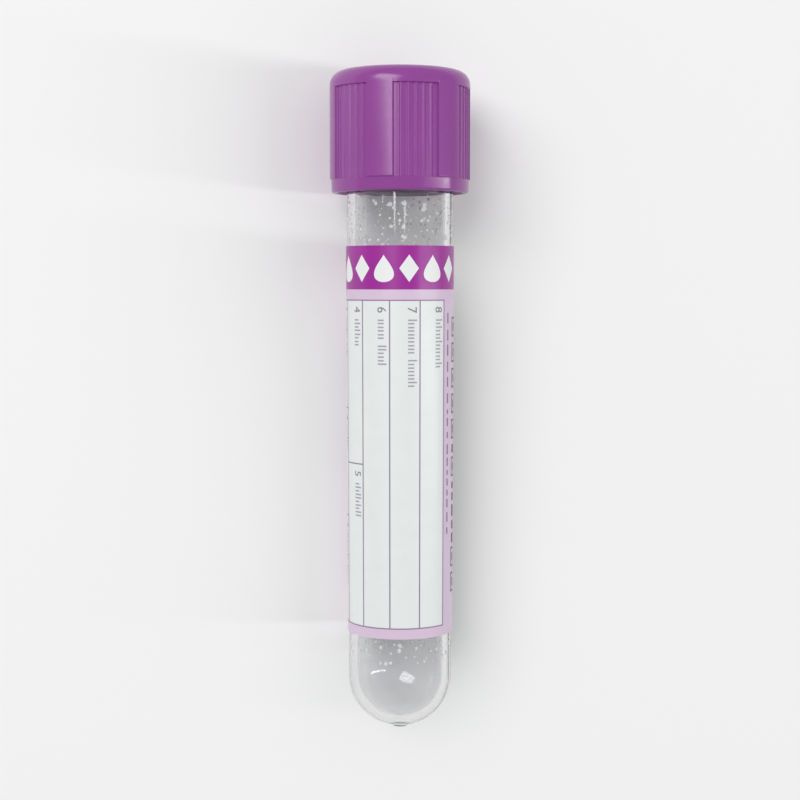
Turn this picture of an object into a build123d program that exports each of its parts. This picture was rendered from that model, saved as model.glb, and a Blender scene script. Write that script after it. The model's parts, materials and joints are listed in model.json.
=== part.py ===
from build123d import *
import os
from math import asin, atan2, cos, degrees, hypot, radians, sin, tan

# An evacuated blood collection tube with a twist-and-pull closure.
#
# Each piece is drawn upright about the Z axis, with Z = 0 at the tube's lowest point and the
# rim at TUBE_LENGTH. Angles round the axis are counted counter-clockwise seen from the cap,
# from the middle of the label's reading side. `lay_down` at the end puts the whole object on
# the bench, on a grip field of its cap. Lengths are in millimetres and angles in degrees.

# ---- tube: clear PET, moulded with a little draft inside and out -------------------------
TUBE_LENGTH = 75.0
NECK_RADIUS = 6.5          # outside, at the rim
OUTER_DRAFT = 0.2          # above the seat
SEAT_TOP = 12.0            # the outside is parallel from the ball end up to here
WALL = 0.95                # at the rim
BORE_DRAFT = 0.25
BASE_THICKNESS = 1.1
GATE_RADIUS = 0.9          # the trimmed moulding gate under the round end
GATE_HEIGHT = 0.15
LIP_BEVEL = 0.25

# ---- closure thread: short steep lugs on the neck, and shorter ones inside the cap -------
THREAD_STARTS = 3
THREAD_LEAD = 18.0         # rise of the cap in one turn, right-handed
LUG_HALF_BASE = 0.65       # half the lug's width along the axis, at its root
FLANK_SLOPE = 0.5          # width lost on each flank per millimetre of lug height
TUBE_LUG_HEIGHT = 0.5
TUBE_LUG_ARC = 95.0
TUBE_LUG_TOP = 2.9         # centre of the lug's upper end, below the rim
CAP_LUG_HEIGHT = 0.6
CAP_LUG_ARC = 42.0
CAP_LUG_LEAD_IN = 12.0     # angle from the tube lug's lower end to the cap lug's
FLANK_GAP = 0.12           # along the axis, between the two lugs' flanks
SKIRT_GAP = 0.35           # between the tube lugs' crests and the cap's skirt
LUG_ROOT = 0.25            # depth to which a lug is one with its wall

# ---- label: printed film glued round the tube, with a clear window left ------------------
LABEL_TO_BASE = 12.0       # bare tube below the label
LABEL_TO_RIM = 16.0        # from the label's top edge to the rim
LABEL_THICKNESS = 0.08
GLUE_THICKNESS = 0.02
LABEL_FROM = -179.4
LABEL_TO = 98.5

# ---- stopper: rubber, a collar on the rim and a plug in the bore -------------------------
COLLAR_HEIGHT = 3.0
COLLAR_BEVEL = 0.35
COLLAR_GAP = 0.1           # between the collar and the cap's chamber
TARGET_RADIUS = 3.5        # the dished place where the needle goes in
TARGET_DEPTH = 2.0
SEPTUM = 3.4               # rubber left between the dish and the hollow below
PLUG_LENGTH = 9.5
PLUG_RELIEF = 0.25         # between the plug and the bore, away from the seals
SEAL_GAP = 0.03            # between the seals and the bore
SEAL_HEIGHT = 1.3
SEAL_DEPTHS = (2.6, 5.6)   # centres of the seals below the rim
PLUG_TAPER = 1.4           # height of the lead-in at the plug's foot
PLUG_HOLLOW_RADIUS = 3.3

# ---- cap: purple polyethylene ------------------------------------------------------------
CAP_HEIGHT = 14.6
CAP_WALL = 1.15            # at the plain panels of the grip
CAP_TOP_THICKNESS = 1.2
CAP_TOP_ROUND = 1.7
BAND_HEIGHT = 1.6          # plain band round the skirt's foot
BAND_ROUND = 0.3           # at the foot, where the lying cap touches the bench
BAND_INSET = 0.2          # how far the band stands back from the grip panels
SHOULDER_HEIGHT = 2.1      # plain part above the ribs
OPENING_RADIUS = 5.6
OPENING_BEVEL = 0.2
LEDGE_HEIGHT = 0.8         # bead under the collar, which pulls the stopper out
LEDGE_GAP = 0.2            # between the bead and the tube's neck
SKIRT_LEAD_IN = 0.4

# ---- grip: fields of fine ribs between plain panels --------------------------------------
GRIP_FIELDS = 6
RIBS_PER_FIELD = 5
FIELD_ARC = 38.5
FIELD_MIDDLE = 13.5        # middle of the first field
FIELD_DEPTH = 0.3          # ribs stand in shallow recesses this deep
RIB_HEIGHT = 0.13
RIB_BASE = 0.5
RIB_CREST = 0.18
RIB_OVERLAP = 0.1          # depth to which a rib's root and ends are one with the cap

# ---- cap ring: black, holds the collar down and lines the opening ------------------------
RING_FLANGE_HEIGHT = 0.8
RING_FLANGE_INSET = 0.25   # the flange's edge, inside the collar's
RING_NECK_GAP = 0.05
RING_NECK_DROP = 0.4       # from the cap's top down to the ring's
RING_BEVEL = 0.2
PORT_RADIUS = 4.0

# ---- sizes that follow from the ones above -----------------------------------------------
RIM = TUBE_LENGTH
BASE_RADIUS = NECK_RADIUS - (RIM - SEAT_TOP) * tan(radians(OUTER_DRAFT))
BASE_CENTRE = GATE_HEIGHT + BASE_RADIUS
SKIRT_BORE = NECK_RADIUS + TUBE_LUG_HEIGHT + SKIRT_GAP
CAP_RADIUS = SKIRT_BORE + CAP_WALL
BAND_RADIUS = CAP_RADIUS - BAND_INSET
FIELD_RADIUS = CAP_RADIUS - FIELD_DEPTH
COLLAR_RADIUS = SKIRT_BORE - COLLAR_GAP
COLLAR_TOP = RIM + COLLAR_HEIGHT
FLANGE_TOP = COLLAR_TOP + RING_FLANGE_HEIGHT
CAP_TOP = FLANGE_TOP + CAP_TOP_THICKNESS
CAP_FOOT = CAP_TOP - CAP_HEIGHT
TUBE_LUG_FOOT = RIM - TUBE_LUG_TOP - THREAD_LEAD * TUBE_LUG_ARC / 360
LUG_OFFSET = 2 * LUG_HALF_BASE - FLANK_SLOPE * (SKIRT_BORE - NECK_RADIUS) + FLANK_GAP
CAP_LUG_FOOT = TUBE_LUG_FOOT + THREAD_LEAD * CAP_LUG_LEAD_IN / 360 - LUG_OFFSET


def outer_radius(height):
    """Outside radius of the tube's wall, parallel up to the top of the seat."""
    return NECK_RADIUS - (RIM - max(height, SEAT_TOP)) * tan(radians(OUTER_DRAFT))


def bore_radius(height):
    """Inside radius of the tube's drafted wall."""
    return NECK_RADIUS - WALL - (RIM - height) * tan(radians(BORE_DRAFT))


def corner_of(section, radius, height):
    """The corner of a half-section nearest to a radius and a height."""
    return section.vertices().sort_by_distance(Vector(radius, height, 0))[0]


def half_section(*corners):
    """A half-section from its corners, each a radius and a height. A third value bevels the corner."""
    section = make_face(Polyline(*[corner[:2] for corner in corners], close=True))
    for corner in corners:
        if len(corner) == 3:
            section = chamfer(corner_of(section, *corner[:2]), corner[2])
    return section


def turned(section, arc=360):
    """Turn a half-section about the axis."""
    return revolve(Plane.XZ * section, Axis.Z, arc)


def ball_ended(outline, end_radius, centre_height, draft=0):
    """Turn an outline that starts on the wall of a ball end and finishes on the axis."""
    slope = radians(draft)
    middle = radians(-(90 + draft) / 2)
    pole = (0, centre_height - end_radius)
    on_arc = (end_radius * cos(middle), centre_height + end_radius * sin(middle))
    tangent = (end_radius * cos(slope), centre_height - end_radius * sin(slope))
    return turned(make_face([ThreePointArc(pole, on_arc, tangent), Polyline(tangent, *outline, pole)]))


def lugs(root_radius, crest_radius, foot_height, foot_angle, arc):
    """One thread lug for each start, from the root to the crest, rising with the lead."""
    outward = 1 if crest_radius > root_radius else -1
    height = abs(crest_radius - root_radius)
    sunk = root_radius - outward * LUG_ROOT
    half_crest = LUG_HALF_BASE - FLANK_SLOPE * height
    half_sunk = LUG_HALF_BASE + FLANK_SLOPE * LUG_ROOT
    section = Plane.XZ * half_section(
        (sunk, -half_sunk), (crest_radius, -half_crest), (crest_radius, half_crest), (sunk, half_sunk))
    path = Helix(pitch=THREAD_LEAD, height=THREAD_LEAD * arc / 360, radius=root_radius)
    lug = Pos(0, 0, foot_height) * sweep(section, path, is_frenet=True)
    return [Rot(0, 0, foot_angle + 360 / THREAD_STARTS * start) * lug for start in range(THREAD_STARTS)]


def make_tube():
    """The moulded tube: ball-ended shell, bevelled lip, gate mark and thread lugs."""
    core_radius = bore_radius(BASE_CENTRE)
    core_centre = GATE_HEIGHT + BASE_THICKNESS + core_radius
    body = ball_ended([(BASE_RADIUS, SEAT_TOP), (NECK_RADIUS, RIM), (0, RIM)], BASE_RADIUS, BASE_CENTRE)
    core = ball_ended([(bore_radius(RIM), RIM), (0, RIM)], core_radius, core_centre, BORE_DRAFT)
    shell = body - core
    shell = chamfer(shell.edges().filter_by(GeomType.CIRCLE).group_by(Axis.Z)[-1], LIP_BEVEL)
    gate_top = GATE_HEIGHT + BASE_THICKNESS / 2
    gate = Pos(0, 0, gate_top / 2) * Cylinder(GATE_RADIUS, gate_top)
    neck = outer_radius(TUBE_LUG_FOOT)
    return shell.fuse(gate, *lugs(neck, NECK_RADIUS + TUBE_LUG_HEIGHT, TUBE_LUG_FOOT, 0, TUBE_LUG_ARC))


def make_label():
    """The film, a part-turn shell that follows the tube's draft."""
    low = LABEL_TO_BASE
    high = RIM - LABEL_TO_RIM
    inside = GLUE_THICKNESS
    outside = GLUE_THICKNESS + LABEL_THICKNESS
    film = half_section(
        (outer_radius(low) + inside, low), (outer_radius(low) + outside, low),
        (outer_radius(high) + outside, high), (outer_radius(high) + inside, high))
    return Rot(0, 0, LABEL_FROM - 90) * turned(film, LABEL_TO - LABEL_FROM)


def make_stopper():
    """The rubber stopper, with seals round the plug, a dished target and a hollow foot."""
    septum_top = COLLAR_TOP - TARGET_DEPTH
    plug_foot = RIM - PLUG_LENGTH
    plug_radius = bore_radius(plug_foot) - PLUG_RELIEF
    stopper = turned(half_section(
        (0, septum_top - SEPTUM), (0, septum_top), (TARGET_RADIUS, septum_top, 0.5),
        (TARGET_RADIUS, COLLAR_TOP, 0.2), (COLLAR_RADIUS, COLLAR_TOP, COLLAR_BEVEL),
        (COLLAR_RADIUS, RIM), (plug_radius, RIM), (plug_radius, plug_foot + PLUG_TAPER),
        (plug_radius - 0.6, plug_foot), (PLUG_HOLLOW_RADIUS, plug_foot, 0.3),
        (PLUG_HOLLOW_RADIUS, septum_top - SEPTUM, 0.8)))
    for depth in SEAL_DEPTHS:
        low = RIM - depth - SEAL_HEIGHT / 2
        high = low + SEAL_HEIGHT
        crest = bore_radius(low) - SEAL_GAP
        root = plug_radius - PLUG_RELIEF
        stopper += turned(half_section((root, low), (crest, low, 0.2), (crest, high, 0.2), (root, high)))
    return stopper


def grip_fields():
    """The shallow recesses in the skirt, between the plain panels."""
    low = CAP_FOOT + BAND_HEIGHT
    high = CAP_TOP - SHOULDER_HEIGHT
    clear = CAP_RADIUS + FIELD_DEPTH
    section = half_section((FIELD_RADIUS, low), (clear, low), (clear, high), (FIELD_RADIUS, high))
    field = Rot(0, 0, -FIELD_ARC / 2 - 90) * turned(section, FIELD_ARC)
    return [Rot(0, 0, FIELD_MIDDLE + 360 / GRIP_FIELDS * place) * field for place in range(GRIP_FIELDS)]


def grip_ribs():
    """The fine ribs that stand in the recesses, each sunk a little at its ends and its root."""
    low = CAP_FOOT + BAND_HEIGHT - RIB_OVERLAP
    high = CAP_TOP - SHOULDER_HEIGHT + RIB_OVERLAP
    root = FIELD_RADIUS - RIB_OVERLAP
    crest = FIELD_RADIUS + RIB_HEIGHT
    section = half_section(
        (root, -RIB_BASE / 2), (FIELD_RADIUS, -RIB_BASE / 2), (crest, -RIB_CREST / 2),
        (crest, RIB_CREST / 2), (FIELD_RADIUS, RIB_BASE / 2), (root, RIB_BASE / 2))
    rib = Pos(0, 0, low) * extrude(section, high - low)
    rib_step = FIELD_ARC / (RIBS_PER_FIELD + 1)
    ribs = []
    for field in range(GRIP_FIELDS):
        for place in range(RIBS_PER_FIELD):
            offset = (place - (RIBS_PER_FIELD - 1) / 2) * rib_step
            ribs.append(Rot(0, 0, FIELD_MIDDLE + 360 / GRIP_FIELDS * field + offset - 90) * rib)
    return ribs


def make_cap():
    """The moulded cap: ribbed skirt, foot band, domed shoulder, opening, ledge and thread lugs."""
    ledge_radius = NECK_RADIUS + LEDGE_GAP
    ledge_foot = RIM - LEDGE_HEIGHT
    band_top = CAP_FOOT + BAND_HEIGHT
    section = half_section(
        (SKIRT_BORE + SKIRT_LEAD_IN, CAP_FOOT), (BAND_RADIUS, CAP_FOOT), (BAND_RADIUS, band_top),
        (CAP_RADIUS, band_top, 0.1), (CAP_RADIUS, CAP_TOP), (OPENING_RADIUS, CAP_TOP, OPENING_BEVEL),
        (OPENING_RADIUS, FLANGE_TOP), (SKIRT_BORE, FLANGE_TOP), (SKIRT_BORE, RIM),
        (ledge_radius, RIM), (ledge_radius, ledge_foot),
        (SKIRT_BORE, ledge_foot - (SKIRT_BORE - ledge_radius)), (SKIRT_BORE, CAP_FOOT + SKIRT_LEAD_IN))
    section = fillet(corner_of(section, BAND_RADIUS, CAP_FOOT), BAND_ROUND)
    section = fillet(corner_of(section, CAP_RADIUS, CAP_TOP), CAP_TOP_ROUND)
    thread = lugs(SKIRT_BORE, SKIRT_BORE - CAP_LUG_HEIGHT, CAP_LUG_FOOT, CAP_LUG_LEAD_IN, CAP_LUG_ARC)
    return (turned(section) - grip_fields()).fuse(*grip_ribs(), *thread)


def make_cap_ring():
    """The ring between the collar and the cap's top, with its neck up through the opening."""
    flange_radius = COLLAR_RADIUS - RING_FLANGE_INSET
    neck_radius = OPENING_RADIUS - RING_NECK_GAP
    neck_top = CAP_TOP - RING_NECK_DROP
    return turned(half_section(
        (PORT_RADIUS, COLLAR_TOP), (flange_radius, COLLAR_TOP), (flange_radius, FLANGE_TOP),
        (neck_radius, FLANGE_TOP), (neck_radius, neck_top, RING_BEVEL), (PORT_RADIUS, neck_top, RING_BEVEL)))


def rest_turn():
    """Turn about the axis that brings the nearest grip field's middle under the lying cap."""
    pitch = 360 / GRIP_FIELDS
    return (180 - FIELD_MIDDLE + pitch / 2) % pitch - pitch / 2


def rest_tilt():
    """Lean of the axis when the cap's band and the tube's ball end both lie on the bench."""
    ring = BAND_RADIUS - BAND_ROUND
    span = CAP_FOOT + BAND_ROUND - BASE_CENTRE
    return degrees(atan2(ring, span) + asin((BAND_ROUND - BASE_RADIUS) / hypot(span, ring)))


def lay_down(pieces):
    """Lay the upright pieces on the bench, cap towards +Y, with the origin under the middle."""
    tilt = rest_tilt()
    lying = {name: Rot(tilt - 90, 0, 0) * Rot(0, 0, rest_turn()) * piece for name, piece in pieces.items()}
    box = Compound(list(lying.values())).bounding_box()
    seat = Pos(0, -box.center().Y, BASE_RADIUS - BASE_CENTRE * sin(radians(tilt)))
    return {name: seat * piece for name, piece in lying.items()}, seat


upright = {
    "tube": make_tube(),
    "label": make_label(),
    "stopper": make_stopper(),
    "cap": make_cap(),
    "cap_ring": make_cap_ring(),
}
lying, seat = lay_down(upright)
os.makedirs("parts", exist_ok=True)
for name, piece in lying.items():
    export_step(piece, f"parts/{name}.step")
print("tilt", rest_tilt(), "turn", rest_turn(), "foot of the axis", seat.position)
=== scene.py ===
import json
import math
import random

import bmesh
import bpy
from mathutils import Matrix, Vector


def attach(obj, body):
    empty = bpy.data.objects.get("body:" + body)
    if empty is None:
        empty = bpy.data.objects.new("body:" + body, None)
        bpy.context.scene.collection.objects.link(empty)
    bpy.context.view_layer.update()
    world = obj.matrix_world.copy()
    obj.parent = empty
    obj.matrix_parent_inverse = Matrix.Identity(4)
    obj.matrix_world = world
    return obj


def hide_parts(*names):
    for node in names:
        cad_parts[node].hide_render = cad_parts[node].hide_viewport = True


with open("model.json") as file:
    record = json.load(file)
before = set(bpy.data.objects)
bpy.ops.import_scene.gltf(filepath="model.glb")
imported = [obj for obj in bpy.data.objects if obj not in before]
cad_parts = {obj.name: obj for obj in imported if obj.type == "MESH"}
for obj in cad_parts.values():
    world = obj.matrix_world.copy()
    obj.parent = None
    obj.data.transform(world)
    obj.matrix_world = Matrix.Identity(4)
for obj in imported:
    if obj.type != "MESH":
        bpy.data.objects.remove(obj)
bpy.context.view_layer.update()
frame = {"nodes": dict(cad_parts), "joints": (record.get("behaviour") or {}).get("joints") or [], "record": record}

# ---- where the tube lies ---------------------------------------------------------------
# The tube lies on the bench on its round end and its cap. Its pieces are drawn in
# millimetres in a frame of their own: x to the right of the label's front, y up the axis
# from the lowest point of the round end, z out through the label's front.
MM = 0.001
SEAT_MIDDLE = 9.2                   # how far up the axis the rack seat's middle is
FRONT_TURN = math.radians(-13.5)    # the label's front, round the axis from straight up

axis = Vector(frame["joints"][0]["axis"]).normalized()
seat_mount = next(m for m in frame["record"]["mounts"] if m["name"] == "rack_seat")
foot = Vector(seat_mount["pos_m"]) - axis * SEAT_MIDDLE * MM
front = Matrix.Rotation(FRONT_TURN, 3, axis) @ Vector((0, -axis.z, axis.y))
right = axis.cross(front)
lying = Matrix.Translation(foot) @ Matrix((right, axis, front)).transposed().to_4x4() @ Matrix.Scale(MM, 4)

# ---- camera ----------------------------------------------------------------------------
# The camera looks down on the label's front from a hand's length away, level with the top
# of the label, and leans a few degrees towards the round end.
EYE_HEIGHT = 54.5
EYE_DISTANCE = 206.0
AIM_HEIGHT = 40.3
LENS = 76.0

eye = lying @ Vector((0, EYE_HEIGHT, EYE_DISTANCE))
back = (eye - lying @ Vector((0, AIM_HEIGHT, 0))).normalized()
across = axis.cross(back).normalized()
facing = Matrix((across, back.cross(across), back)).transposed().to_4x4()
camera = bpy.data.objects.new("camera", bpy.data.cameras.new("camera"))
camera.matrix_world = Matrix.Translation(eye) @ facing
camera.data.lens = LENS
camera.data.clip_start = 0.01
bpy.context.scene.collection.objects.link(camera)
bpy.context.scene.camera = camera
bpy.context.scene.view_settings.view_transform = "Standard"


# ---- bench and lamps -------------------------------------------------------------------
# A plain matt bench top of laminate, which fades into an even pale surround. A large soft
# lamp stands at the upper left, and a long narrow one at the right draws a thin edge of
# light on plastic and film.
def linear(colour):
    """A hex colour as linear red, green, blue and alpha."""
    values = [int(colour[place:place + 2], 16) / 255 for place in (1, 3, 5)]
    return tuple(v / 12.92 if v <= 0.04045 else ((v + 0.055) / 1.055) ** 2.4 for v in values) + (1.0,)


def add(tree, kind, inputs=None, **settings):
    """Add a node. Each input is set to a value or linked from a socket."""
    node = tree.nodes.new(kind)
    for name, value in settings.items():
        setattr(node, name, value)
    for name, value in (inputs or {}).items():
        if isinstance(value, bpy.types.NodeSocket):
            tree.links.new(value, node.inputs[name])
        else:
            node.inputs[name].default_value = value
    return node


def blank_material(name):
    """A material with an empty tree, and its output node."""
    material = bpy.data.materials.new(name)
    material.use_nodes = True
    material.node_tree.nodes.clear()
    return material, material.node_tree, add(material.node_tree, "ShaderNodeOutputMaterial")


BENCH_COLOUR = "#F7F7F6"
BENCH_SIDE = 3.0
BENCH_FADE = (0.30, 0.85)           # the distances between which the bench fades into the surround
BENCH_DIMPLES = 1.1                 # millimetres apart, coarser than real ones so that they show
SURROUND_COLOUR = "#F7F8F9"
SURROUND_LIGHT = 0.48               # the surround's strength as a light
SURROUND_SEEN = 0.95                # its strength where it is looked at, or seen through the tube
LAMP_TARGET = Vector((0, 0, 0.008))

bench_paint, tree, out = blank_material("matt_white_laminate")
dimples = add(tree, "ShaderNodeTexNoise", {"Scale": 1 / (BENCH_DIMPLES * MM), "Detail": 2.0})
grain = add(tree, "ShaderNodeBump", {
    "Height": dimples.outputs["Fac"], "Strength": 0.04, "Distance": 0.2 * MM})
skin = add(tree, "ShaderNodeBsdfPrincipled", {
    "Base Color": linear(BENCH_COLOUR), "Roughness": 0.75, "Normal": grain.outputs["Normal"]})
spot = add(tree, "ShaderNodeTexCoord").outputs["Object"]
distance = add(tree, "ShaderNodeVectorMath", {0: spot}, operation="LENGTH").outputs["Value"]
fade = add(tree, "ShaderNodeMapRange", {
    "Value": distance, "From Min": BENCH_FADE[0], "From Max": BENCH_FADE[1]},
    interpolation_type="SMOOTHSTEP")
open_air = add(tree, "ShaderNodeBsdfTransparent")
edgeless = add(tree, "ShaderNodeMixShader", {
    0: fade.outputs["Result"], 1: skin.outputs["BSDF"], 2: open_air.outputs["BSDF"]})
tree.links.new(edgeless.outputs[0], out.inputs["Surface"])

bench_mesh = bpy.data.meshes.new("bench")
half = BENCH_SIDE / 2
bench_corners = [(-half, -half, 0), (half, -half, 0), (half, half, 0), (-half, half, 0)]
bench_mesh.from_pydata(bench_corners, [], [(0, 1, 2, 3)])
bench_mesh.materials.append(bench_paint)
bench = bpy.data.objects.new("bench", bench_mesh)
bpy.context.scene.collection.objects.link(bench)

world = bpy.data.worlds.new("surround")
bpy.context.scene.world = world
world.use_nodes = True
tree = world.node_tree
tree.nodes.clear()
path = add(tree, "ShaderNodeLightPath")
seen = add(tree, "ShaderNodeMath", {
    0: path.outputs["Is Camera Ray"], 1: path.outputs["Is Transmission Ray"]}, operation="MAXIMUM")
strength = add(tree, "ShaderNodeMapRange", {
    "Value": seen.outputs[0], "To Min": SURROUND_LIGHT, "To Max": SURROUND_SEEN})
sky = add(tree, "ShaderNodeBackground", {
    "Color": linear(SURROUND_COLOUR), "Strength": strength.outputs["Result"]})
add(tree, "ShaderNodeOutputWorld", {"Surface": sky.outputs[0]})


def softbox(name, place, size, power):
    """An area lamp of a size in metres and a power in watts, that faces the middle of the tube."""
    lamp = bpy.data.lights.new(name, "AREA")
    lamp.shape = "RECTANGLE"
    lamp.size, lamp.size_y = size
    lamp.energy = power
    holder = bpy.data.objects.new(name, lamp)
    holder.location = place
    holder.rotation_euler = (Vector(place) - LAMP_TARGET).to_track_quat("Z", "Y").to_euler()
    bpy.context.scene.collection.objects.link(holder)


softbox("window_lamp", (-0.51, 0.33, 0.746), (0.45, 0.63), 4.7)
softbox("strip_lamp", (0.63, -0.06, 0.506), (0.052, 0.75), 1.75)


# ---- tube ------------------------------------------------------------------------------
# Injection-moulded PET, crystal clear, with a ball end and a small trimmed gate, and three
# steep thread lugs under the cap. It takes its solid from the CAD. Clear PET is brighter
# than glass at its edges, and its skin is a little wavy from the mould. Lamps shine through
# the wall unbent, so that what is inside is lit.
PET_COLOUR, PET_SHADE = "#EEEEEF", "#F6F6F7"    # of light bent by the wall, and of its shadow
PET_IOR = 1.575
MOULD_WAVE, MOULD_WAVE_DEPTH = 2.5, 0.004       # millimetres

pet, tree, out = blank_material("clear_moulded_pet")
place = add(tree, "ShaderNodeTexCoord").outputs["Object"]
waves = add(tree, "ShaderNodeTexNoise", {
    "Vector": place, "Scale": 1 / (MOULD_WAVE * MM), "Detail": 1.5})
bump = add(tree, "ShaderNodeBump", {
    "Height": waves.outputs["Fac"], "Strength": 1.0, "Distance": MOULD_WAVE_DEPTH * MM})
body = add(tree, "ShaderNodeBsdfPrincipled", {
    "Base Color": linear(PET_COLOUR), "Roughness": 0.035, "IOR": PET_IOR,
    "Transmission Weight": 1.0, "Normal": bump.outputs["Normal"]})
path = add(tree, "ShaderNodeLightPath")
through = add(tree, "ShaderNodeBsdfTransparent", {"Color": linear(PET_SHADE)})
for ray in ("Is Shadow Ray", "Is Diffuse Ray"):
    body = add(tree, "ShaderNodeMixShader", {
        0: path.outputs[ray], 1: body.outputs[0], 2: through.outputs[0]})
tree.links.new(body.outputs[0], out.inputs["Surface"])
frame["nodes"]["tube"].data.materials[0] = pet


# ---- sprayed droplets ------------------------------------------------------------------
# The additive is sprayed into the bore and dries on the wall as a mist of small flat white
# droplets. They are laid out on a flat sheet, the bore unrolled, and the sheet is then
# wrapped into the bore.
RIM_HEIGHT = 75.0
BORE_AT_RIM = 5.55
BORE_SLOPE = math.tan(math.radians(0.25))
UNROLLED_BORE = BORE_AT_RIM - 0.1   # the radius at which lengths round the bore are true
SPRAY_LOW, SPRAY_HIGH = 8.5, 65.0
DROPLETS_PER_MM2 = 1.25
DROPLET_RADIUS = (0.07, 0.26)


def new_tree(name, inputs):
    """A geometry tree with named inputs, and its input node."""
    tree = bpy.data.node_groups.new(name, "GeometryNodeTree")
    tree.interface.new_socket("Geometry", in_out="INPUT", socket_type="NodeSocketGeometry")
    for label, (kind, value) in inputs.items():
        socket = tree.interface.new_socket(label, in_out="INPUT", socket_type="NodeSocket" + kind)
        if value is not None:
            socket.default_value = value
    tree.interface.new_socket("Geometry", in_out="OUTPUT", socket_type="NodeSocketGeometry")
    return tree, add(tree, "NodeGroupInput")


def calculate(tree, operation, *values):
    """A maths node's result."""
    return add(tree, "ShaderNodeMath", dict(enumerate(values)), operation=operation).outputs[0]


def finish_tree(tree, geometry, material):
    """End a tree with whole meshes in one material."""
    real = add(tree, "GeometryNodeRealizeInstances", {"Geometry": geometry})
    dressed = add(tree, "GeometryNodeSetMaterial", {"Geometry": real.outputs[0], "Material": material})
    add(tree, "NodeGroupOutput", {"Geometry": dressed.outputs[0]})


def wrap_tree():
    """Rolls a flat sheet round the tube: x becomes the way round, y the height, and z the lift."""
    tree, given = new_tree("wrap_round_wall", {
        "Wall radius at rim": ("Float", 6.5), "Rim height": ("Float", RIM_HEIGHT), "Slope": ("Float", 0.0),
        "Unrolled radius": ("Float", 6.47), "Material": ("Material", None)})
    sheet = add(tree, "ShaderNodeSeparateXYZ", {0: add(tree, "GeometryNodeInputPosition").outputs[0]})
    below_rim = calculate(tree, "SUBTRACT", given.outputs["Rim height"], sheet.outputs["Y"])
    narrowing = calculate(tree, "MULTIPLY", below_rim, given.outputs["Slope"])
    wall = calculate(tree, "SUBTRACT", given.outputs["Wall radius at rim"], narrowing)
    radius = calculate(tree, "ADD", wall, sheet.outputs["Z"])
    angle = calculate(tree, "DIVIDE", sheet.outputs["X"], given.outputs["Unrolled radius"])
    rolled = add(tree, "ShaderNodeCombineXYZ", {
        "X": calculate(tree, "MULTIPLY", radius, calculate(tree, "SINE", angle)),
        "Y": sheet.outputs["Y"],
        "Z": calculate(tree, "MULTIPLY", radius, calculate(tree, "COSINE", angle))})
    moved = add(tree, "GeometryNodeSetPosition", {
        "Geometry": given.outputs["Geometry"], "Position": rolled.outputs[0]})
    finish_tree(tree, moved.outputs[0], given.outputs["Material"])
    return tree


def spray_tree():
    """Scatters small flat domes, of mixed sizes, under a flat sheet."""
    tree, given = new_tree("spray_droplets", {
        "Per square millimetre": ("Float", 1.0), "Smallest": ("Float", 0.1), "Largest": ("Float", 0.3),
        "Flatness": ("Float", 0.45), "Seed": ("Int", 7), "Material": ("Material", None)})
    spots = add(tree, "GeometryNodeDistributePointsOnFaces", {
        "Mesh": given.outputs["Geometry"], "Density": given.outputs["Per square millimetre"],
        "Seed": given.outputs["Seed"]})
    ball = add(tree, "GeometryNodeMeshUVSphere", {"Segments": 8, "Rings": 5, "Radius": 1.0})
    chance = add(tree, "FunctionNodeRandomValue", {"Seed": given.outputs["Seed"]}, data_type="FLOAT")
    few_large = calculate(tree, "POWER", chance.outputs[1], 2.2)
    spread = calculate(tree, "SUBTRACT", given.outputs["Largest"], given.outputs["Smallest"])
    radius = calculate(tree, "MULTIPLY_ADD", few_large, spread, given.outputs["Smallest"])
    long_way = add(tree, "FunctionNodeRandomValue", {2: 0.9, 3: 1.35, "Seed": 31}, data_type="FLOAT")
    size = add(tree, "ShaderNodeCombineXYZ", {
        "X": radius, "Y": calculate(tree, "MULTIPLY", radius, long_way.outputs[1]),
        "Z": calculate(tree, "MULTIPLY", radius, given.outputs["Flatness"])})
    domes = add(tree, "GeometryNodeInstanceOnPoints", {
        "Points": spots.outputs["Points"], "Instance": ball.outputs["Mesh"], "Scale": size.outputs[0]})
    finish_tree(tree, domes.outputs[0], given.outputs["Material"])
    return tree


def shaped(mesh, tree, **values):
    """The mesh that a geometry tree makes of a mesh, with the tree's inputs set by name."""
    blank = bpy.data.objects.new(mesh.name, mesh)
    bpy.context.scene.collection.objects.link(blank)
    modifier = blank.modifiers.new(tree.name, "NODES")
    modifier.node_group = tree
    for socket in tree.interface.items_tree:
        key = socket.name.lower().replace(" ", "_")
        if socket.in_out == "INPUT" and key in values:
            modifier[socket.identifier] = values[key]
    result = bpy.data.meshes.new_from_object(blank.evaluated_get(bpy.context.evaluated_depsgraph_get()))
    blank.modifiers.clear()
    bpy.data.objects.remove(blank)
    return result


SHARP_EDGE = math.radians(38)


def laid(name, mesh, body):
    """A finished mesh as a piece, laid on the bench with the tube and riding on a body."""
    mesh.transform(lying)
    mesh.shade_smooth()
    mesh.set_sharp_from_angle(angle=SHARP_EDGE)
    piece = bpy.data.objects.new(name, mesh)
    bpy.context.scene.collection.objects.link(piece)
    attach(piece, body)
    return piece


SHEET_STEP = 0.3                    # the width of the strips that a rolled sheet is cut into


def sheet_mesh(name, patches):
    """Flat rectangles (left, low, right, high, lift), cut across finely enough to be rolled."""
    mesh = bpy.data.meshes.new(name)
    shape = bmesh.new()
    for left, low, wide, high, lift in patches:
        steps = max(1, math.ceil((wide - left) / SHEET_STEP))
        rows = [[shape.verts.new((left + (wide - left) * step / steps, y, lift)) for y in (low, high)]
                for step in range(steps + 1)]
        for near, far in zip(rows, rows[1:]):
            shape.faces.new((near[0], far[0], far[1], near[1]))
    shape.to_mesh(mesh)
    shape.free()
    return mesh


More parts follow.
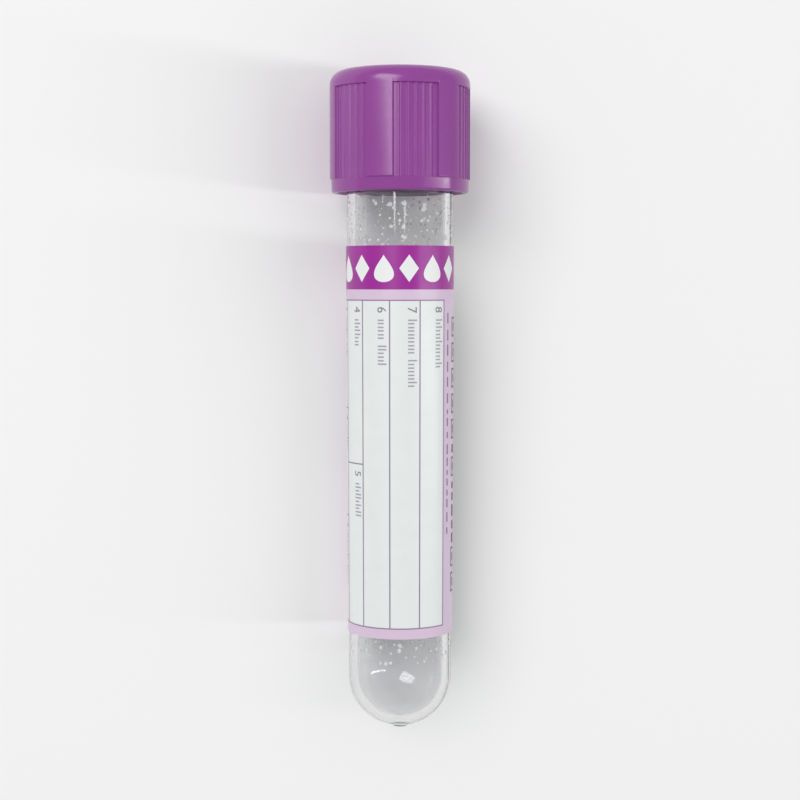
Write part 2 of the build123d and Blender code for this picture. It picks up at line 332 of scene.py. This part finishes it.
wrap = wrap_tree()
dried_spray, tree, out = blank_material("dried_spray_coat")
skin = add(tree, "ShaderNodeBsdfPrincipled", {
    "Base Color": linear("#FAFBFB"), "Roughness": 0.3, "IOR": 1.42, "Transmission Weight": 0.2})
tree.links.new(skin.outputs["BSDF"], out.inputs["Surface"])

half_round = math.pi * UNROLLED_BORE
flat_bore = sheet_mesh("unrolled_bore", [(-half_round, SPRAY_LOW, half_round, SPRAY_HIGH, 0)])
mist = shaped(flat_bore, spray_tree(), per_square_millimetre=DROPLETS_PER_MM2,
              smallest=DROPLET_RADIUS[0], largest=DROPLET_RADIUS[1], material=dried_spray)
mist = shaped(mist, wrap, wall_radius_at_rim=BORE_AT_RIM, slope=BORE_SLOPE,
              unrolled_radius=UNROLLED_BORE, material=dried_spray)
laid("spray_droplets", mist, "tube_body")


# ---- label -----------------------------------------------------------------------------
# A satin polypropylene film, printed flat and glued round the tube, with a clear window
# left between its ends. The writing field is bare white film, and the rest is tinted. It
# is wrapped here as it is on the line: flat artwork, then the roll round the tube.
WALL_AT_RIM = 6.5
WALL_SLOPE = math.tan(math.radians(0.2))
UNROLLED = 6.47                     # the radius at which lengths round the label are true
GLUE, FILM = 0.02, 0.08
FILM_TOP = GLUE + FILM
INK = 0.01                          # drawn thicker than real ink, so that layers stay apart
LABEL_LOW, LABEL_HIGH = 12.0, 59.0
LABEL_ENDS = (-179.4, 98.5)         # degrees round from the label's front
BAND_LOW = 53.8
FIELD_LOW, FIELD_HIGH = 13.2, 52.6
FIELD_ENDS = (-107.8, 53.7)         # degrees, as the label's ends
CELLS = (3, 2, 1, 1, 1)             # in each column of the field, from its left
COLUMNS = len(CELLS)
LINE = 0.14                         # the width of a printed line


def round_by(degrees):
    """The length round the unrolled label at an angle from its front."""
    return math.radians(degrees) * UNROLLED


TINT_CLOUD, GLUE_RIPPLE = 2.4, 3.8      # millimetres across


def two_tones(tree, share, colour, darker):
    """A tint between two colours, by a share from 0 to 1."""
    colours = {0: share, 6: linear(colour), 7: linear(darker)}
    return add(tree, "ShaderNodeMix", colours, data_type="RGBA").outputs[2]


def satin_film(name, colour, darker, roughness=0.42):
    """Satin printed film, faintly uneven in its tint and gloss, with slight ripples from the glue."""
    material, tree, out = blank_material(name)
    place = add(tree, "ShaderNodeTexCoord").outputs["Object"]
    cloud = add(tree, "ShaderNodeTexNoise", {
        "Vector": place, "Scale": 1 / (TINT_CLOUD * MM), "Detail": 4.0, "Roughness": 0.6})
    tint = two_tones(tree, cloud.outputs["Fac"], colour, darker)
    gloss = add(tree, "ShaderNodeMapRange", {
        "Value": cloud.outputs["Fac"], "To Min": roughness - 0.05, "To Max": roughness + 0.06})
    ripple = add(tree, "ShaderNodeTexNoise", {
        "Vector": place, "Scale": 1 / (GLUE_RIPPLE * MM), "Detail": 1.0})
    bump = add(tree, "ShaderNodeBump", {
        "Height": ripple.outputs["Fac"], "Strength": 0.35, "Distance": 0.03 * MM})
    skin = add(tree, "ShaderNodeBsdfPrincipled", {
        "Base Color": tint, "Roughness": gloss.outputs["Result"], "IOR": 1.49,
        "Coat Weight": 0.15, "Coat Roughness": 0.2, "Normal": bump.outputs["Normal"]})
    tree.links.new(skin.outputs["BSDF"], out.inputs["Surface"])
    return material


def wrapped(name, mesh, material):
    """A piece of the label, rolled round the tube."""
    rolled = shaped(mesh, wrap, wall_radius_at_rim=WALL_AT_RIM, slope=WALL_SLOPE,
                    unrolled_radius=UNROLLED, material=material)
    return laid(name, rolled, "tube_body")


label_left, label_right = (round_by(end) for end in LABEL_ENDS)
film_mesh = sheet_mesh("film", [(label_left, LABEL_LOW, label_right, LABEL_HIGH, GLUE)])
shape = bmesh.new()
shape.from_mesh(film_mesh)
grown = bmesh.ops.extrude_face_region(shape, geom=list(shape.faces), use_keep_orig=True)
raised = [part for part in grown["geom"] if isinstance(part, bmesh.types.BMVert)]
bmesh.ops.translate(shape, verts=raised, vec=(0, 0, FILM))
bmesh.ops.recalc_face_normals(shape, faces=shape.faces)
shape.to_mesh(film_mesh)
shape.free()
label = wrapped("label_stock", film_mesh, satin_film("white_satin_film", "#EDF1EF", "#E4E9E7"))
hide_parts("label")

# ---- label print -----------------------------------------------------------------------
# The tint, the purple band and the thin lines are inks on the film, each rolled round the
# tube like the film. Plain drops and diamonds stand on the band, and a plain digit and a
# row of short strokes head each cell.
field_left, field_right = (round_by(end) for end in FIELD_ENDS)
tint_patches = [
    (label_left, FIELD_LOW, field_left, FIELD_HIGH, FILM_TOP + INK),
    (field_right, FIELD_LOW, label_right, FIELD_HIGH, FILM_TOP + INK),
    (label_left, FIELD_HIGH, label_right, BAND_LOW, FILM_TOP + INK),
    (label_left, LABEL_LOW, label_right, FIELD_LOW, FILM_TOP + INK)]
wrapped("label_tint", sheet_mesh("tint", tint_patches),
        satin_film("pale_pink_ink", "#DFC9DF", "#D7BFD8"))
band_patch = (label_left, BAND_LOW, label_right, LABEL_HIGH, FILM_TOP + INK)
wrapped("label_band", sheet_mesh("band", [band_patch]),
        satin_film("purple_band_ink", "#A4189C", "#991391", 0.36))

column_width = (field_right - field_left) / COLUMNS
line_lift = FILM_TOP + 2 * INK
line_patches = [(field_left, FIELD_HIGH - LINE, field_right, FIELD_HIGH, line_lift),
                (field_left, FIELD_LOW, field_right, FIELD_LOW + LINE, line_lift)]
for column in range(COLUMNS + 1):
    edge = field_left + column * column_width
    line_patches.append((edge - LINE / 2, FIELD_LOW, edge + LINE / 2, FIELD_HIGH, line_lift))
for column, cells in enumerate(CELLS):
    for cell in range(1, cells):
        edge = FIELD_LOW + (FIELD_HIGH - FIELD_LOW) * cell / cells
        start = field_left + column * column_width
        line_patches.append((start, edge - LINE / 2, start + column_width, edge + LINE / 2, line_lift))
wrapped("label_lines", sheet_mesh("lines", line_patches),
        satin_film("mauve_line_ink", "#9A7BA3", "#8F7098"))


DROP_STEPS = 40


def drop(middle, height, size):
    """The outline of a drop, round below and drawn to a point at its top."""
    outline = []
    for step in range(DROP_STEPS):
        turn = 2 * math.pi * step / DROP_STEPS
        aside = size * 1.08 * math.sin(turn) * math.sin(turn / 2) ** 1.5
        outline.append((middle + aside, height + size * math.cos(turn)))
    return outline


def diamond(middle, height, size):
    """The outline of an upright diamond."""
    aside = 0.72 * size
    return [(middle, height + size), (middle + aside, height),
            (middle, height - size), (middle - aside, height)]


CUT_STEP = 0.25                     # the width of the strips that flat print is cut into


def cut_across(drawn):
    """Cuts a flat shape into narrow strips along x, so that it can be rolled, and faces it upwards."""
    bmesh.ops.triangulate(drawn, faces=drawn.faces[:])
    left = min(corner.co.x for corner in drawn.verts)
    wide = max(corner.co.x for corner in drawn.verts)
    for count in range(1, math.ceil((wide - left) / CUT_STEP)):
        bmesh.ops.bisect_plane(drawn, geom=drawn.verts[:] + drawn.edges[:] + drawn.faces[:],
                               plane_co=(left + count * CUT_STEP, 0, 0), plane_no=(1, 0, 0))
    bmesh.ops.triangulate(drawn, faces=drawn.faces[:])
    for face in drawn.faces:
        if face.normal.z < 0:
            face.normal_flip()


def outline_mesh(name, outlines, lift):
    """Filled outlines, each a list of flat points, as one flat mesh cut to be rolled."""
    mesh = bpy.data.meshes.new(name)
    drawn = bmesh.new()
    for points in outlines:
        drawn.faces.new([drawn.verts.new((x, y, lift)) for x, y in points])
    cut_across(drawn)
    drawn.to_mesh(mesh)
    drawn.free()
    return mesh


def bar(left, low, wide, high):
    """The corners of an upright bar."""
    return [(left, low), (wide, low), (wide, high), (left, high)]


MARKS = 8
MARK_SIZE = 1.62                    # half the height of a mark
MARK_HEIGHT = (BAND_LOW + LABEL_HIGH) / 2 - 0.1
FIRST_MARK, LAST_MARK = -124.0, 63.0        # degrees round from the label's front

marks = []
for place in range(MARKS):
    middle = round_by(FIRST_MARK + (LAST_MARK - FIRST_MARK) * place / (MARKS - 1))
    mark = (drop, diamond)[place % 2]
    marks.append(mark(middle, MARK_HEIGHT, MARK_SIZE))
wrapped("band_marks", outline_mesh("marks", marks, line_lift),
        satin_film("white_mark_ink", "#F2F3F3", "#EBEDED"))


DIGIT_HEIGHT = 1.15
SIZE_TO_HEIGHT = 1.38               # a font's size over the height of its digits


def digit_mesh(name, digits, lift):
    """Digits (text, x, y), read down the label, as one flat mesh."""
    mesh = bpy.data.meshes.new(name)
    drawn = bmesh.new()
    for text, x, y in digits:
        curve = bpy.data.curves.new("digit", "FONT")
        curve.body = text
        curve.size = DIGIT_HEIGHT * SIZE_TO_HEIGHT
        curve.resolution_u = 3
        writer = bpy.data.objects.new("digit", curve)
        bpy.context.scene.collection.objects.link(writer)
        drawn_digit = writer.evaluated_get(bpy.context.evaluated_depsgraph_get())
        flat = bpy.data.meshes.new_from_object(drawn_digit)
        bpy.data.objects.remove(writer)
        flat.transform(Matrix.Translation((x, y, lift)) @ Matrix.Rotation(math.radians(-90), 4, "Z"))
        drawn.from_mesh(flat)
    cut_across(drawn)
    drawn.to_mesh(mesh)
    drawn.free()
    return mesh


CAPTION_ACROSS, CAPTION_DOWN = 1.5, 0.8     # from a cell's upper right corner to its digit
DIGIT_ROOM = 1.5                    # from a digit's top to the strokes under it
STROKE_PITCH, STROKE = 0.86, 0.17   # between pairs of strokes, and a stroke's thickness
STROKE_PAIR = ((0.0, 0.35), (0.42, 0.15))   # each stroke's place, and its chance of being long
LONG_STROKE, SHORT_STROKE = 1.08, 0.74
STROKE_ROWS = ((3, 2), (3,), (4, 3), (4,), (5,), (3, 3), (5, 4), (7,))      # pairs in each cell's rows
STROKES_IN, ROW_ROOM = 0.04, 0.5    # from a digit's side to its strokes, and between their rows
digits, strokes = [], []
dice = random.Random(5)


def stroke_row(left, top, pairs):
    """A row of short strokes in pairs, down the label, and where the row ends."""
    for pair in range(pairs):
        for share, chance in STROKE_PAIR:
            reach = LONG_STROKE if dice.random() < chance else SHORT_STROKE
            edge = top - share - dice.uniform(0.0, 0.05)
            strokes.append(bar(left, edge - STROKE, left + reach, edge))
        top -= STROKE_PITCH
    return top


cell_captions = []
for column, cells in enumerate(CELLS):
    for cell in range(cells):
        left = field_left + (column + 1) * column_width - CAPTION_ACROSS
        top = FIELD_LOW + (FIELD_HIGH - FIELD_LOW) * (cells - cell) / cells - CAPTION_DOWN
        cell_captions.append((left, top))
for number, ((left, top), rows) in enumerate(zip(cell_captions, STROKE_ROWS), 1):
    digits.append((str(number), left, top))
    top -= DIGIT_ROOM
    for pairs in rows:
        top = stroke_row(left + STROKES_IN, top, pairs) - ROW_ROOM
wrapped("cell_numbers", digit_mesh("numbers", digits, line_lift),
        satin_film("grey_caption_ink", "#8E8598", "#847B8E"))
wrapped("cell_strokes", outline_mesh("strokes", strokes, line_lift),
        satin_film("grey_stroke_ink", "#AFA7B7", "#A59DAE"))

# ---- small print -----------------------------------------------------------------------
# Small print runs down both ends of the label, outside the field: two fine dashed columns,
# a column of boxed signs and blocks, and two columns of bold dashes.
BOX_WIDE, BOX_HIGH, BOX_LINE = 1.7, 2.4, 0.24
BAR_IN, BAR_UP = 0.6, 0.7           # from a box's sides and its ends to the bar in it
BOX_ROOM = 3.1                      # from one box's top to the next sign's
BOX_CHANCE = 0.45
fine, bold, purple = [], [], []


def dash_column(ink, angle, width, top, low, lengths, gap):
    """A column of dashes of random lengths, at an angle round from the label's front."""
    left = round_by(angle)
    while top > low:
        length = dice.uniform(*lengths)
        ink.append(bar(left, top - length, left + width, top))
        top -= length + gap()


def boxed_sign(left, top):
    """A box of four thin lines round a short bar."""
    wide, low = left + BOX_WIDE, top - BOX_HIGH
    return [bar(left, low, wide, low + BOX_LINE), bar(left, top - BOX_LINE, wide, top),
            bar(left, low + BOX_LINE, left + BOX_LINE, top - BOX_LINE),
            bar(wide - BOX_LINE, low + BOX_LINE, wide, top - BOX_LINE),
            bar(left + BAR_IN, low + BAR_UP, wide - BAR_IN, top - BAR_UP)]


dash_column(fine, 60.5, 0.28, 51.0, 24.0, (0.5, 1.6), lambda: dice.uniform(0.4, 0.9))
top = 50.5
while top > 18.0:
    if dice.random() < BOX_CHANCE:
        bold += boxed_sign(round_by(73), top)
        top -= BOX_ROOM
    else:
        length = dice.uniform(0.7, 1.5)
        bold.append(bar(round_by(75), top - length, round_by(75) + 1.1, top))
        top -= length + 0.5
for ink, angle, width, low in ((bold, -119.5, 1.25, 31.0), (purple, -143.0, 1.5, 16.0)):
    dash_column(ink, angle, width, 50.5, low, (0.6, 1.4), lambda: 0.45 if dice.random() < 0.75 else 1.6)
dash_column(fine, -165, 0.3, 48.0, 15.0, (0.8, 2.4), lambda: 0.6)
wrapped("fine_print", outline_mesh("fine", fine, line_lift),
        satin_film("mauve_print_ink", "#8B6A95", "#80608A"))
wrapped("bold_print", outline_mesh("bold", bold, line_lift),
        satin_film("dark_print_ink", "#4A3450", "#402C46"))
wrapped("purple_print", outline_mesh("purple", purple, line_lift),
        satin_film("purple_print_ink", "#8E3A91", "#823485"))

# ---- stopper ---------------------------------------------------------------------------
# Moulded butyl rubber, matt dark grey, with a faint dusting that pales it where it turns
# away. It takes its solid from the CAD.
DUST_GRAIN = 0.4                    # millimetres, coarser than real dust so that it shows

rubber, tree, out = blank_material("moulded_butyl_rubber")
place = add(tree, "ShaderNodeTexCoord").outputs["Object"]
dust = add(tree, "ShaderNodeTexNoise", {
    "Vector": place, "Scale": 1 / (DUST_GRAIN * MM), "Detail": 5.0})
tone = two_tones(tree, dust.outputs["Fac"], "#47454A", "#5A585D")
pores = add(tree, "ShaderNodeBump", {
    "Height": dust.outputs["Fac"], "Strength": 0.5, "Distance": 0.02 * MM})
skin = add(tree, "ShaderNodeBsdfPrincipled", {
    "Base Color": tone, "Roughness": 0.68, "IOR": 1.52, "Sheen Weight": 0.12,
    "Normal": pores.outputs["Normal"]})
tree.links.new(skin.outputs["BSDF"], out.inputs["Surface"])
frame["nodes"]["stopper"].data.materials[0] = rubber


# ---- cap -------------------------------------------------------------------------------
# Moulded polyethylene, purple and glossy, with soft edges from the mould. The skirt has six
# sunk fields of five fine ribs between plain panels, over a plain band at its foot, and
# three short steep lugs inside. It is turned from its half-section, and the grip is then
# pressed into the wall.
CAP_FOOT, CAP_TOP = 65.4, 80.0
SKIRT_BORE, CAP_RADIUS = 7.35, 8.5
BAND_RADIUS, BAND_TOP = 8.3, 67.0
SHOULDER = 77.9
OPENING, CHAMBER_TOP = 5.6, 78.8
LEDGE_RADIUS, LEDGE_FOOT, LEDGE_TOP = 6.7, 74.2, 75.0
LEDGE_SLOPE = 0.65                  # the height over which the ledge leaves the bore
TOP_ROUND = 1.7
AROUND = 960                        # steps round the cap
ROUND_STEP = 0.16                   # the radius of a rounding for each of its steps


def rounded(corners):
    """A closed outline from corners (radius, height, rounding)."""
    outline = []
    for place, (radius, height, rounding) in enumerate(corners):
        here = Vector((radius, height))
        if not rounding:
            outline.append(here)
            continue
        before = (Vector(corners[place - 1][:2]) - here).normalized()
        after = (Vector(corners[(place + 1) % len(corners)][:2]) - here).normalized()
        half = before.angle(after) / 2
        middle = here + (before + after).normalized() * rounding / math.sin(half)
        start = here + before * rounding / math.tan(half) - middle
        end = here + after * rounding / math.tan(half) - middle
        steps = max(3, math.ceil(rounding / ROUND_STEP))
        sweep = start.angle(end)
        for step in range(steps + 1):
            share = step / steps
            spoke = start * math.sin((1 - share) * sweep) + end * math.sin(share * sweep)
            outline.append(middle + spoke / math.sin(sweep))
    return outline


def turned(name, outline, around):
    """A closed outline turned about the axis."""
    mesh = bpy.data.meshes.new(name)
    angles = [2 * math.pi * step / around for step in range(around)]
    corners = [(point.x * math.sin(a), point.y, point.x * math.cos(a)) for point in outline for a in angles]
    faces = []
    for row in range(len(outline)):
        below, above = row * around, (row + 1) % len(outline) * around
        for step in range(around):
            after = (step + 1) % around
            faces.append((below + step, below + after, above + after, above + step))
    mesh.from_pydata(corners, [], faces)
    tidy = bmesh.new()
    tidy.from_mesh(mesh)
    bmesh.ops.recalc_face_normals(tidy, faces=tidy.faces)
    tidy.to_mesh(mesh)
    tidy.free()
    return mesh


def press_tree():
    """Sinks fields into a turned wall and raises ribs in them, all with soft edges."""
    tree, given = new_tree("press_grip", {
        "Fields": ("Float", 6.0), "First field": ("Float", 13.5), "Field arc": ("Float", 38.5),
        "Field depth": ("Float", 0.3), "Field low": ("Float", BAND_TOP), "Field high": ("Float", SHOULDER),
        "Ribs": ("Float", 5.0), "Rib height": ("Float", 0.13), "Rib foot": ("Float", 0.5),
        "Rib crest": ("Float", 0.144), "Edge": ("Float", 0.1), "Wall radius": ("Float", CAP_RADIUS),
        "Material": ("Material", None)})
    value = given.outputs
    spot = add(tree, "ShaderNodeSeparateXYZ", {0: add(tree, "GeometryNodeInputPosition").outputs[0]})
    flat = add(tree, "ShaderNodeCombineXYZ", {"X": spot.outputs["X"], "Z": spot.outputs["Z"]}).outputs[0]
    radius = add(tree, "ShaderNodeVectorMath", {0: flat}, operation="LENGTH").outputs["Value"]
    degree = calculate(tree, "MULTIPLY", radius, math.pi / 180)

    def times(*amounts):
        """The product of all the amounts."""
        product = amounts[0]
        for amount in amounts[1:]:
            product = calculate(tree, "MULTIPLY", product, amount)
        return product

    def less(amount, other):
        """One amount less another."""
        return calculate(tree, "SUBTRACT", amount, other)

    def nearest(amount, half_pitch):
        """How far an amount, in degrees, is from the nearest whole number of pitches."""
        return calculate(tree, "WRAP", amount, half_pitch, times(half_pitch, -1.0))

    def ramp(amount, nothing, full):
        """A soft step from 0 at nothing to 1 at full."""
        limits = {"Value": amount, "From Min": nothing, "From Max": full}
        return add(tree, "ShaderNodeMapRange", limits, interpolation_type="SMOOTHSTEP").outputs["Result"]

    angle = calculate(tree, "DEGREES", calculate(tree, "ARCTAN2", spot.outputs["X"], spot.outputs["Z"]))
    half_pitch = calculate(tree, "DIVIDE", 180.0, value["Fields"])
    off_middle = nearest(less(angle, value["First field"]), half_pitch)
    aside = calculate(tree, "ABSOLUTE", off_middle)
    half_field = times(value["Field arc"], 0.5, degree)
    in_arc = ramp(times(aside, degree), half_field, less(half_field, value["Edge"]))
    above_foot = calculate(tree, "GREATER_THAN", spot.outputs["Y"], value["Field low"])
    below_top = ramp(spot.outputs["Y"], value["Field high"], less(value["Field high"], value["Edge"]))
    in_field = times(in_arc, above_foot, below_top)

    rib_pitch = calculate(tree, "DIVIDE", value["Field arc"], calculate(tree, "ADD", value["Ribs"], 1.0))
    off_rib = calculate(tree, "ABSOLUTE", nearest(off_middle, times(rib_pitch, 0.5)))
    crest = ramp(times(off_rib, degree), times(value["Rib foot"], 0.5), times(value["Rib crest"], 0.5))
    ribbed = calculate(tree, "LESS_THAN", aside, times(value["Ribs"], 0.5, rib_pitch))
    rise = times(crest, ribbed, value["Rib height"])

    floor = calculate(tree, "ADD", less(value["Wall radius"], value["Field depth"]), rise)
    too_far_out = calculate(tree, "MAXIMUM", less(radius, floor), 0.0)
    outward = add(tree, "ShaderNodeVectorMath", {0: flat}, operation="NORMALIZE").outputs[0]
    push = times(too_far_out, in_field, -1.0)
    shift = add(tree, "ShaderNodeVectorMath", {0: outward, "Scale": push}, operation="SCALE")
    pressed = add(tree, "GeometryNodeSetPosition", {
        "Geometry": value["Geometry"], "Offset": shift.outputs[0]})
    finish_tree(tree, pressed.outputs[0], value["Material"])
    return tree


FLOW_CLOUD = 5.5                    # millimetres across a cloud in the plastic's tint


def moulded_plastic(name, colour, deeper, roughness, grain, depth):
    """A glossy opaque moulding: faint clouds in its tint, and a grain so many millimetres wide and deep."""
    material, tree, out = blank_material(name)
    place = add(tree, "ShaderNodeTexCoord").outputs["Object"]
    cloud = add(tree, "ShaderNodeTexNoise", {
        "Vector": place, "Scale": 1 / (FLOW_CLOUD * MM), "Detail": 3.0})
    tint = two_tones(tree, cloud.outputs["Fac"], colour, deeper)
    fine = add(tree, "ShaderNodeTexNoise", {"Vector": place, "Scale": 1 / (grain * MM), "Detail": 3.0})
    gloss = add(tree, "ShaderNodeMapRange", {
        "Value": fine.outputs["Fac"], "To Min": roughness - 0.06, "To Max": roughness + 0.08})
    bump = add(tree, "ShaderNodeBump", {
        "Height": fine.outputs["Fac"], "Strength": 0.6, "Distance": depth * MM})
    skin = add(tree, "ShaderNodeBsdfPrincipled", {
        "Base Color": tint, "Roughness": gloss.outputs["Result"], "IOR": 1.51,
        "Normal": bump.outputs["Normal"]})
    tree.links.new(skin.outputs["BSDF"], out.inputs["Surface"])
    return material


def ladder(low, high, edge):
    """Corners up the skirt's outside: close together where a field ends, and far apart between."""
    heights = [low + edge * share for share in (0.25, 0.5, 0.75, 1.0, 1.5)]
    heights += [low + (high - low) * share for share in (0.25, 0.5, 0.75)]
    heights += [high - edge * share for share in (1.5, 1.0, 0.75, 0.5, 0.25, 0.0)]
    return [(CAP_RADIUS, height, 0) for height in heights]


LUGS, FIRST_LUG, LUG_ARC, LUG_STEP = 3, 102, 42, 3      # the last three in degrees
LUG_HEIGHT, LUG_HALF_FOOT, LUG_HALF_CREST = 0.6, 0.65, 0.35
LUG_START, LEAD = 66.955, 18.0
LUG_ROOT = 0.2                      # how far a lug's foot is let into the wall
LUG_SOFT = 0.1                      # the softening of its crest


def add_lug(shape, start):
    """One steep thread lug on the skirt's bore."""
    root, crest = SKIRT_BORE + LUG_ROOT, SKIRT_BORE - LUG_HEIGHT
    half = [(root, LUG_HALF_FOOT + 0.1), (crest + LUG_SOFT, LUG_HALF_CREST + LUG_SOFT / 2),
            (crest, LUG_HALF_CREST - LUG_SOFT)]
    section = [(radius, -along) for radius, along in half] + half[::-1]
    loops = []
    for turn in range(0, LUG_ARC + 1, LUG_STEP):
        angle = math.radians(start + turn)
        height = LUG_START + LEAD * turn / 360
        loops.append([shape.verts.new((radius * math.sin(angle), height + along, radius * math.cos(angle)))
                      for radius, along in section])
    faces = [shape.faces.new(loops[0]), shape.faces.new(loops[-1])]
    for near, far in zip(loops, loops[1:]):
        for place in range(len(section)):
            after = (place + 1) % len(section)
            faces.append(shape.faces.new((near[place], near[after], far[after], far[place])))
    bmesh.ops.recalc_face_normals(shape, faces=faces)


EDGE = 0.12                         # the width of the soft edge round a field
cap_plastic = moulded_plastic("purple_moulded_polyethylene", "#96459A", "#8D3F92", 0.2, 0.6, 0.002)
cap_corners = [                     # up the outside from the foot, and down the inside
    (SKIRT_BORE + 0.4, CAP_FOOT, 0.12), (BAND_RADIUS, CAP_FOOT, 0.3), (BAND_RADIUS, BAND_TOP, 0.06),
    (CAP_RADIUS, BAND_TOP, 0.1), *ladder(BAND_TOP + 0.1, SHOULDER, EDGE),
    (CAP_RADIUS, CAP_TOP, TOP_ROUND), (OPENING, CAP_TOP, 0.25), (OPENING, CHAMBER_TOP, 0),
    (SKIRT_BORE, CHAMBER_TOP, 0.15), (SKIRT_BORE, LEDGE_TOP, 0), (LEDGE_RADIUS, LEDGE_TOP, 0.15),
    (LEDGE_RADIUS, LEDGE_FOOT, 0.2), (SKIRT_BORE, LEDGE_FOOT - LEDGE_SLOPE, 0.2),
    (SKIRT_BORE, CAP_FOOT + 0.4, 0)]
cap_mesh = shaped(turned("cap", rounded(cap_corners), AROUND), press_tree(),
                  field_low=BAND_TOP - 0.01, edge=EDGE, material=cap_plastic)
shape = bmesh.new()
shape.from_mesh(cap_mesh)
bmesh.ops.remove_doubles(shape, verts=shape.verts, dist=0.002)     # where a field meets the foot band
for lug in range(LUGS):
    add_lug(shape, FIRST_LUG + 360 / LUGS * lug)
shape.to_mesh(cap_mesh)
shape.free()
cap = laid("ribbed_cap", cap_mesh, "cap_body")
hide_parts("cap")

# ---- cap ring --------------------------------------------------------------------------
# A black moulded polyethylene ring, snapped in under the cap's top, that holds the stopper
# down and lines the opening. It takes its solid from the CAD.
frame["nodes"]["cap_ring"].data.materials[0] = moulded_plastic(
    "black_moulded_polyethylene", "#121215", "#0D0D10", 0.33, 0.3, 0.005)
